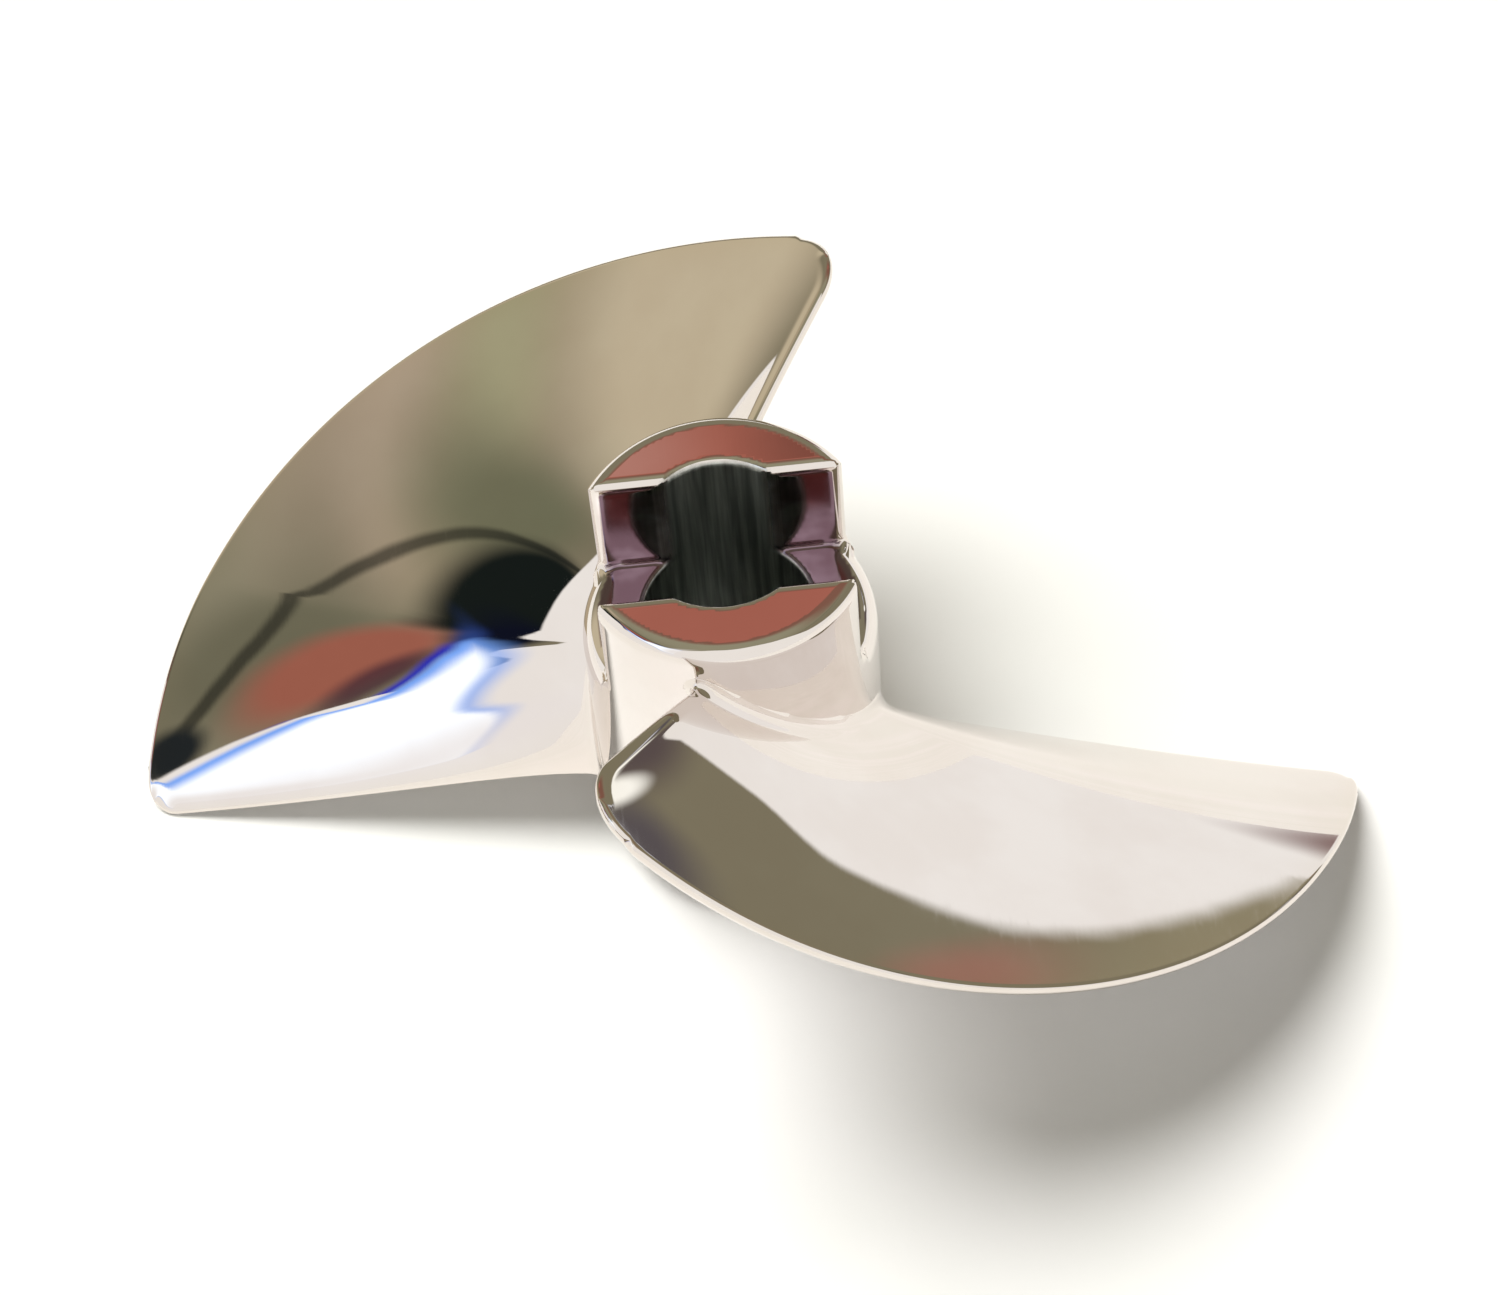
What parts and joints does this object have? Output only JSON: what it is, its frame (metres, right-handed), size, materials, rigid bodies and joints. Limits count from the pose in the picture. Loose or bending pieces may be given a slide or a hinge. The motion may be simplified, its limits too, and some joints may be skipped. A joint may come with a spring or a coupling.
{
  "type": "boat propeller",
  "caption": "Bright plated boat propeller with swept, cupped left-hand blades on a short bored hub that has a drive-dog slot across one end.",
  "frame": {"origin": "on the shaft line, level with the lowest points of the blades", "axes": "+Z along the shaft line towards the slotted end of the hub, +X along the drive-dog slot"},
  "size_m": [0.0362, 0.0254, 0.0143],
  "materials": {
    "hub_plating": "bright plated, bare and dark inside the bore",
    "blade_plating": "bright plated, mirror polished"
  },
  "bodies": {
    "root": {"hub": "hub_plating", "blade_1": "blade_plating", "blade_2": "blade_plating"}
  },
  "joints": []
}
